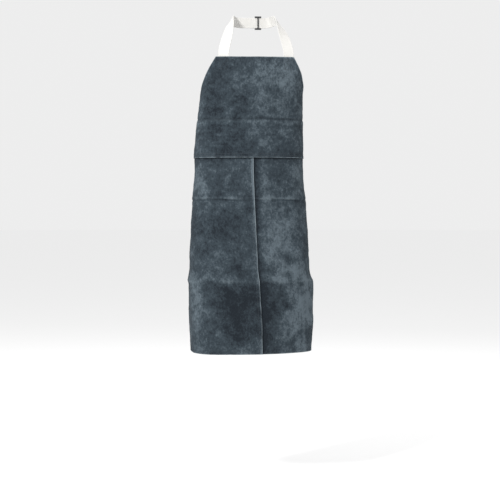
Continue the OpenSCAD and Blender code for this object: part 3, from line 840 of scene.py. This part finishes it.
def leather_grid(v_low, v_high, columns, spacing):
    rows = np.linspace(v_low, v_high, max(2, round((v_high - v_low) / spacing)) + 1)
    return np.meshgrid(rows, columns, indexing="ij")


class APRON_OT_leather(bpy.types.Operator):
    """Hang the bib and both skirt panels"""
    bl_idname = "apron.leather"
    bl_label = "Leather panels"

    def execute(self, context):
        look = context.scene.apron_leather
        spacing = look.grid / MM
        suede = suede_leather(look)
        self.bib(suede, spacing)
        for side, word in ((-1, "left"), (1, "right")):
            self.skirt(side, word, suede, spacing)
        return {"FINISHED"}

    def bib(self, suede, spacing):
        v, u = leather_grid(0, BIB_HEIGHT, np.linspace(-1, 1, round(2 * HALF_WIDTH / spacing) + 1), spacing)
        s = u * armhole(v)
        lift = bib_lift(s, v)
        bib = leather_sheet("bib", s, v, BIB_LAYER[1] + lift, BIB_LAYER[0] + lift, 0.0, 0 * s)
        finish_piece(bib, "apron", "leather", suede, "bib_panel")

    def skirt(self, side, word, suede, spacing):
        """One skirt panel, from its outer edge to the centre lap."""
        u = np.linspace(0, 1, round(HALF_WIDTH / spacing) + 2)
        v, u = leather_grid(SKIRT_TOP, LENGTH, u, spacing)
        edge = seam_s(v) - side * CENTRE_LAP / 2
        # Painted shadow along the line of the bib's lower edge
        soil_and_painted_light = -0.5 * np.exp(-np.abs(v - BIB_HEIGHT) / 4)
        if word == "left":
            s = -HALF_WIDTH + u * (HALF_WIDTH + edge)
            lift, uv_shift = lap_lift(s, v), 3.0
            # Painted highlight along the left panel's free lap edge, strongest about 60 mm below the bib's
            # edge
            soil_and_painted_light = soil_and_painted_light + 0.9 * bell(edge - s, 5) * (0.25 + bell(v - BIB_HEIGHT - 60, 110))
        else:
            s = edge + u * (HALF_WIDTH - edge)
            lift, uv_shift = -lap_behind(s, v), 7.0
            # Painted shadow beside the centre lap on the right panel
            soil_and_painted_light = soil_and_painted_light - 0.5 * bell(s - edge - CENTRE_LAP, 15)
        panel = leather_sheet("skirt_" + word, s, v, SKIRT_LAYER[1] + lift, SKIRT_LAYER[0] + lift,
                              uv_shift, soil_and_painted_light)
        finish_piece(panel, "apron", "leather", suede, "skirt_panel_" + word)


class APRON_OT_stitching(bpy.types.Operator):
    """Sew the seams, the neck strap's tails and the belt's tabs"""
    bl_idname = "apron.stitching"
    bl_label = "Stitching"

    def execute(self, context):
        look = context.scene.apron_thread
        thread = sewing_thread(look)
        tree = stitch_tree(thread)
        size = (look.pitch, look.pitch * 0.8, look.thread)
        bib_face, skirt_face = BIB_LAYER[1] + THREAD_OUT, SKIRT_LAYER[1] + THREAD_OUT
        rows = {"waist_stitches": ([row for inset in (12, 6)
                                    for row in self.across(BIB_HEIGHT - inset, HALF_WIDTH - 4, bib_face)],
                                   "waist_seam_stitching"),
                "centre_stitches": ([row for side in (-3, 3) for row in self.down(side, skirt_face)],
                                    "centre_seam_stitching")}
        for word, side in (("left", -1), ("right", 1)):
            middle = side * STRAP_S + STRAP_SHIFT
            rows["tail_stitches_" + word] = (
                [line for face, flat in ((bib_face, False), (TAIL_OUT - WEBBING_FACE, True))
                 for line in self.box(middle, 12, 8, TAIL_LENGTH - 4, face, flat)],
                "tail_stitching_" + word)
            middle = side * (HALF_WIDTH - BELT_TAB / 2)
            rows["belt_stitches_" + word] = (
                [line for face in (skirt_face, BELT_OUT - WEBBING_FACE)
                 for line in self.box(middle, BELT_TAB / 2 - 8, BELT_V - 12, BELT_V + 12, face)],
                "belt_stitching_" + word)
        fold_y = BACK_Y + 1.5 * BELT_T + FOLD_GAP + 0.1
        rows["belt_end_stitches"] = (
            [np.array([[MIDDLE_X + SOCKET_BAR_X - x, fold_y, BELT_Z + z] for z in np.linspace(-13, 13, 20)])
             for x in (14, 28)], "belt_end_stitching")
        for name, (lines, node) in rows.items():
            piece = stitched(name, lines, tree, *size)
            finish_piece(piece, "apron", "thread", thread, node)
        return {"FINISHED"}

    def across(self, v, reach, face):
        """A row across the waist lap, as it shows on the bib and on the panels' inner side."""
        s = np.linspace(-reach, reach, 400)
        deep = np.where(s > -CENTRE_LAP / 2, lap_behind(s, v), 0)
        return [on_apron(s, v, face + bib_lift(s, v)), on_apron(s, v, SKIRT_LAYER[0] - deep - THREAD_OUT)]

    def down(self, side, face):
        """A row down the centre lap, on both sides."""
        v = np.linspace(BIB_HEIGHT + 3, LENGTH - 4, 400)
        s = seam_s(v) + side
        return [on_apron(s, v, face + lap_lift(s, v)),
                on_apron(s, v, SKIRT_LAYER[0] - LAP_STEP - THREAD_OUT)]

    def box(self, middle, reach, v0, v1, face, flat=False):
        """A box with a cross in it, from middle - reach to middle + reach; flat on a strap's face."""
        ahead = heading_at(middle, (v0 + v1) / 2) * (1, np.sign(middle), 1)
        s0, s1 = middle - reach, middle + reach
        corners = [(s0, v0), (s1, v0), (s1, v1), (s0, v1), (s0, v0)]
        lines = []
        for leg in (corners, [(s0, v0), (s1, v1)], [(s1, v0), (s0, v1)]):
            s, v = evenly(np.array(leg, float), 1.0)[0].T
            lines.append(on_apron(middle, v, face) + (s - middle)[:, None] * ahead if flat
                         else on_apron(s, v, face))
        return lines


class APRON_OT_neck_loop(bpy.types.Operator):
    """Sew on the neck loop"""
    bl_idname = "apron.neck_loop"
    bl_label = "Neck loop"

    def execute(self, context):
        look = context.scene.apron_webbing
        cloth = woven_webbing(look)
        points, lie = neck_line()
        middle = through_points(points, 10)
        wide = through_points(lie, 10)
        strap = webbing("neck_strap_webbing", middle, wide, look.width / MM, look.thickness / MM,
                        soften=14)
        finish_piece(strap, None, "webbing", cloth, "neck_strap", "strap_tail_left", "strap_tail_right")
        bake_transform(strap)
        return {"FINISHED"}


class APRON_OT_belt(bpy.types.Operator):
    """Sew on the two belt straps"""
    bl_idname = "apron.belt"
    bl_label = "Belt"

    def execute(self, context):
        look = context.scene.apron_webbing
        cloth = bpy.data.materials["woven_webbing"]
        for side, word, bar_x, fold in ((-1, "left", -SOCKET_BAR_X, SOCKET_FOLD),
                                        (1, "right", PLUG_BAR_X, PLUG_FOLD)):
            middle = belt_line(side, bar_x, fold)
            upright = np.tile([0.0, 0.0, 1.0], (len(middle), 1))
            strap = webbing("belt_webbing_" + word, middle, upright, look.width / MM,
                            look.thickness / MM, 1.0 + side)
            finish_piece(strap, "apron", "webbing", cloth, "belt_" + word)
        return {"FINISHED"}


class APRON_OT_fittings(bpy.types.Operator):
    """Mould the buckle, its prongs, the belt keeper and the neck slider"""
    bl_idname = "apron.fittings"
    bl_label = "Fittings"

    def execute(self, context):
        plastic = moulded_plastic(context.scene.apron_fittings)
        for piece, body, node in (
                (self.socket(), "apron", "buckle_socket"), (self.plug(), "apron", "buckle_plug"),
                (self.prong(1, "upper"), "prong_top", "prong_upper"),
                (self.prong(-1, "lower"), "prong_bottom", "prong_lower"),
                (self.keeper(), "keeper", "belt_keeper"), (self.slider(), "slider", "neck_slider")):
            finish_piece(piece, body, "plastic", plastic, node)
        return {"FINISHED"}

    def socket(self):
        """The shell: hollow, open at the mouth, with a window each side for the prongs."""
        end, half, waisted = SOCKET_MOUTH - SOCKET_LENGTH, BUCKLE_W / 2, 1.6
        side = [(end, half - 4), (end + 1.2, half - 1.2), (end + 4, half), (end + 9, half),
                (WINDOW[0] + 4, half - waisted), (WINDOW[1] - 4, half - waisted),
                (SOCKET_MOUTH - 2, half), (SOCKET_MOUTH, half - 1)]
        shell = prism("shell", mirrored(side), -BUCKLE_T / 2, BUCKLE_T / 2)
        hollow = block("hollow", (end + WALL, -CAVITY_T / 2, -CAVITY_W / 2),
                       (SOCKET_MOUTH + 3, CAVITY_T / 2, CAVITY_W / 2))
        window = block("window", (WINDOW[0], -CAVITY_T / 2, -BUCKLE_W), (WINDOW[1], CAVITY_T / 2, BUCKLE_W))
        return cut_and_joined("buckle_socket_shell", shell, webbing_bar(end + 1, SOCKET_BAR_X),
                              [hollow, window], 0.7, BUCKLE_AT)

    def plug(self):
        """The plug's block, with a centre tongue, grip grooves and its webbing bar."""
        back, half = PLUG_FACE + PLUG_DEPTH, BUCKLE_W / 2
        side = [(PLUG_FACE, half - 1), (PLUG_FACE + 2, half), (back - 3, half), (back, half - 2.5)]
        base = prism("base", mirrored(side), -BUCKLE_T / 2, BUCKLE_T / 2)
        tongue = block("tongue", (TONGUE_END, -PRONG_T / 2, -TONGUE_W / 2),
                       (PLUG_FACE + 2, PRONG_T / 2, TONGUE_W / 2))
        groove, deep = 1.0, 0.5
        grooves = [block("groove", (x, y - deep, -half + 6), (x + groove, y + deep, half - 6))
                   for x in (PLUG_FACE + 2.4, PLUG_FACE + 4.8, PLUG_FACE + 7.2)
                   for y in (-BUCKLE_T / 2, BUCKLE_T / 2)]
        return cut_and_joined("buckle_plug_moulding", base, [tongue, *webbing_bar(back - 1, PLUG_BAR_X)],
                              grooves, 0.35, BUCKLE_AT)

    def prong(self, side, word):
        """A springy arm whose barb sits in the socket's window."""
        root = PLUG_FACE - 0.8
        outline = ((root, 8), (root, 13), (0, 13.2), (-2, 14), (-2.6, 18.6), (-4.5, 19), (-9, 18.8),
                   (-14, 17.6), (-19, 14.5), (-22, 12), (-22, 9), (-20, 8.7), (-13, 9))
        arm = prism("arm", [(x, side * z) for x, z in outline], -PRONG_T / 2, PRONG_T / 2)
        return cut_and_joined("buckle_prong_" + word, arm, round_mm=0.4, at=BUCKLE_AT)

    def keeper(self):
        """A flat loop round both layers of the belt."""
        low, high = box_mm("belt_keeper")
        ring = block("ring", low, high)
        inside = block("inside", (low[X] - 2, low[Y] + KEEPER_WALL, low[Z] + KEEPER_WALL),
                       (high[X] + 2, high[Y] - KEEPER_WALL, high[Z] - KEEPER_WALL))
        return cut_and_joined("belt_keeper_loop", ring, cut=[inside])

    def slider(self):
        """Two rails, two outer bars and a middle bar behind the webbing."""
        low, high = box_mm("neck_slider")
        top, bottom = [block("rail", (low[X], low[Y], z), (high[X], high[Y], z + RAIL_T))
                       for z in (high[Z] - RAIL_T, low[Z])]
        middle = (low[X] + high[X] - SLIDER_BAR_L) / 2
        bars = [block("bar", (x, y, low[Z] + 1), (x + SLIDER_BAR_L, y + SLIDER_BAR_T, high[Z] - 1))
                for x, y in ((low[X], high[Y] - SLIDER_BAR_T),
                             (high[X] - SLIDER_BAR_L, high[Y] - SLIDER_BAR_T), (middle, low[Y]))]
        return cut_and_joined("neck_slider_frame", top, [bottom, *bars], round_mm=0.55)


class APRON_OT_stage(bpy.types.Operator):
    """Set the camera, the soft lights and the pale floor"""
    bl_idname = "apron.stage"
    bl_label = "Stage"

    def execute(self, context):
        look = context.scene.apron_stage
        self.camera(context.scene, look)
        self.floor(look)
        self.lights(context.scene)
        return {"FINISHED"}

    def camera(self, scene, look):
        aim_right, aim_back, aim_down = 3.6, 92, 586
        target = Vector((MIDDLE_X + aim_right, FRONT_Y + aim_back, TOP_Z - aim_down)) * MM
        a, e = look.azimuth, look.elevation
        back = Vector((math.sin(a) * math.cos(e), -math.cos(a) * math.cos(e), math.sin(e)))
        data = bpy.data.cameras.new("camera")
        data.angle = look.view_angle
        camera = bpy.data.objects.new("camera", data)
        scene.collection.objects.link(camera)
        camera.location = target + back * look.distance
        camera.rotation_euler = (-back).to_track_quat("-Z", "Y").to_euler()
        scene.camera = camera

    def floor(self, look):
        """A wide pale floor."""
        reach, sides = 40.0, 64
        turn = np.linspace(0, 2 * math.pi, sides, endpoint=False)
        points = [(reach * math.cos(a) / MM, reach * math.sin(a) / MM, look.ground / MM) for a in turn]
        floor = mesh_object("floor", points, [tuple(range(sides))])
        g = Graph("studio_floor")
        floor.data.materials.append(g.surface((0.98, 0.98, 0.98), 0.95, Specular_IOR_Level=0.0))

    def lights(self, scene):
        scene.view_settings.view_transform = "Standard"
        world = bpy.data.worlds.new("studio")
        world.use_nodes = True
        sky = world.node_tree.nodes["Background"]
        sky.inputs["Color"].default_value = (1, 1, 1, 1)
        sky.inputs["Strength"].default_value = 0.85
        scene.world = world
        lamps = (("key", (-2.0, -2.3, 1.8), 0.7, 130), ("fill", (2.4, -3.0, 0.3), 2.0, 8),
                 ("back", (0.6, 2.2, 1.6), 1.6, 25))
        for name, place, size, power in lamps:
            data = bpy.data.lights.new(name, "AREA")
            data.size, data.energy = size, power
            lamp = bpy.data.objects.new(name, data)
            scene.collection.objects.link(lamp)
            lamp.location = place
            aim = Vector((0, 0, -0.55)) - Vector(place)
            lamp.rotation_euler = aim.to_track_quat("-Z", "Y").to_euler()


STEPS = (APRON_OT_stage, APRON_OT_leather, APRON_OT_stitching, APRON_OT_neck_loop, APRON_OT_belt,
         APRON_OT_fittings)


class APRON_PT_panel(bpy.types.Panel):
    """Lists what can be built, and the sizes and colours it is built with"""
    bl_idname = "APRON_PT_panel"
    bl_label = "Welding apron"
    bl_space_type = "VIEW_3D"
    bl_region_type = "UI"
    bl_category = "Apron"

    def draw(self, context):
        for step in STEPS:
            self.layout.operator(step.bl_idname)
        for key, group in LOOKS.items():
            column = self.layout.column(heading=key)
            for name in group.__annotations__:
                column.prop(getattr(context.scene, key), name)


CLASSES = (*LOOKS.values(), *STEPS, APRON_PT_panel)


def register():
    for one in CLASSES:
        bpy.utils.register_class(one)
    for key, group in LOOKS.items():
        setattr(bpy.types.Scene, key, bpy.props.PointerProperty(type=group))


def unregister():
    for key in LOOKS:
        delattr(bpy.types.Scene, key)
    for one in reversed(CLASSES):
        bpy.utils.unregister_class(one)


def main():
    register()
    bpy.ops.apron.stage()
    bpy.ops.apron.leather()
    bpy.ops.apron.stitching()
    bpy.ops.apron.neck_loop()
    bpy.ops.apron.belt()
    bpy.ops.apron.fittings()


if __name__ == "__main__":
    main()
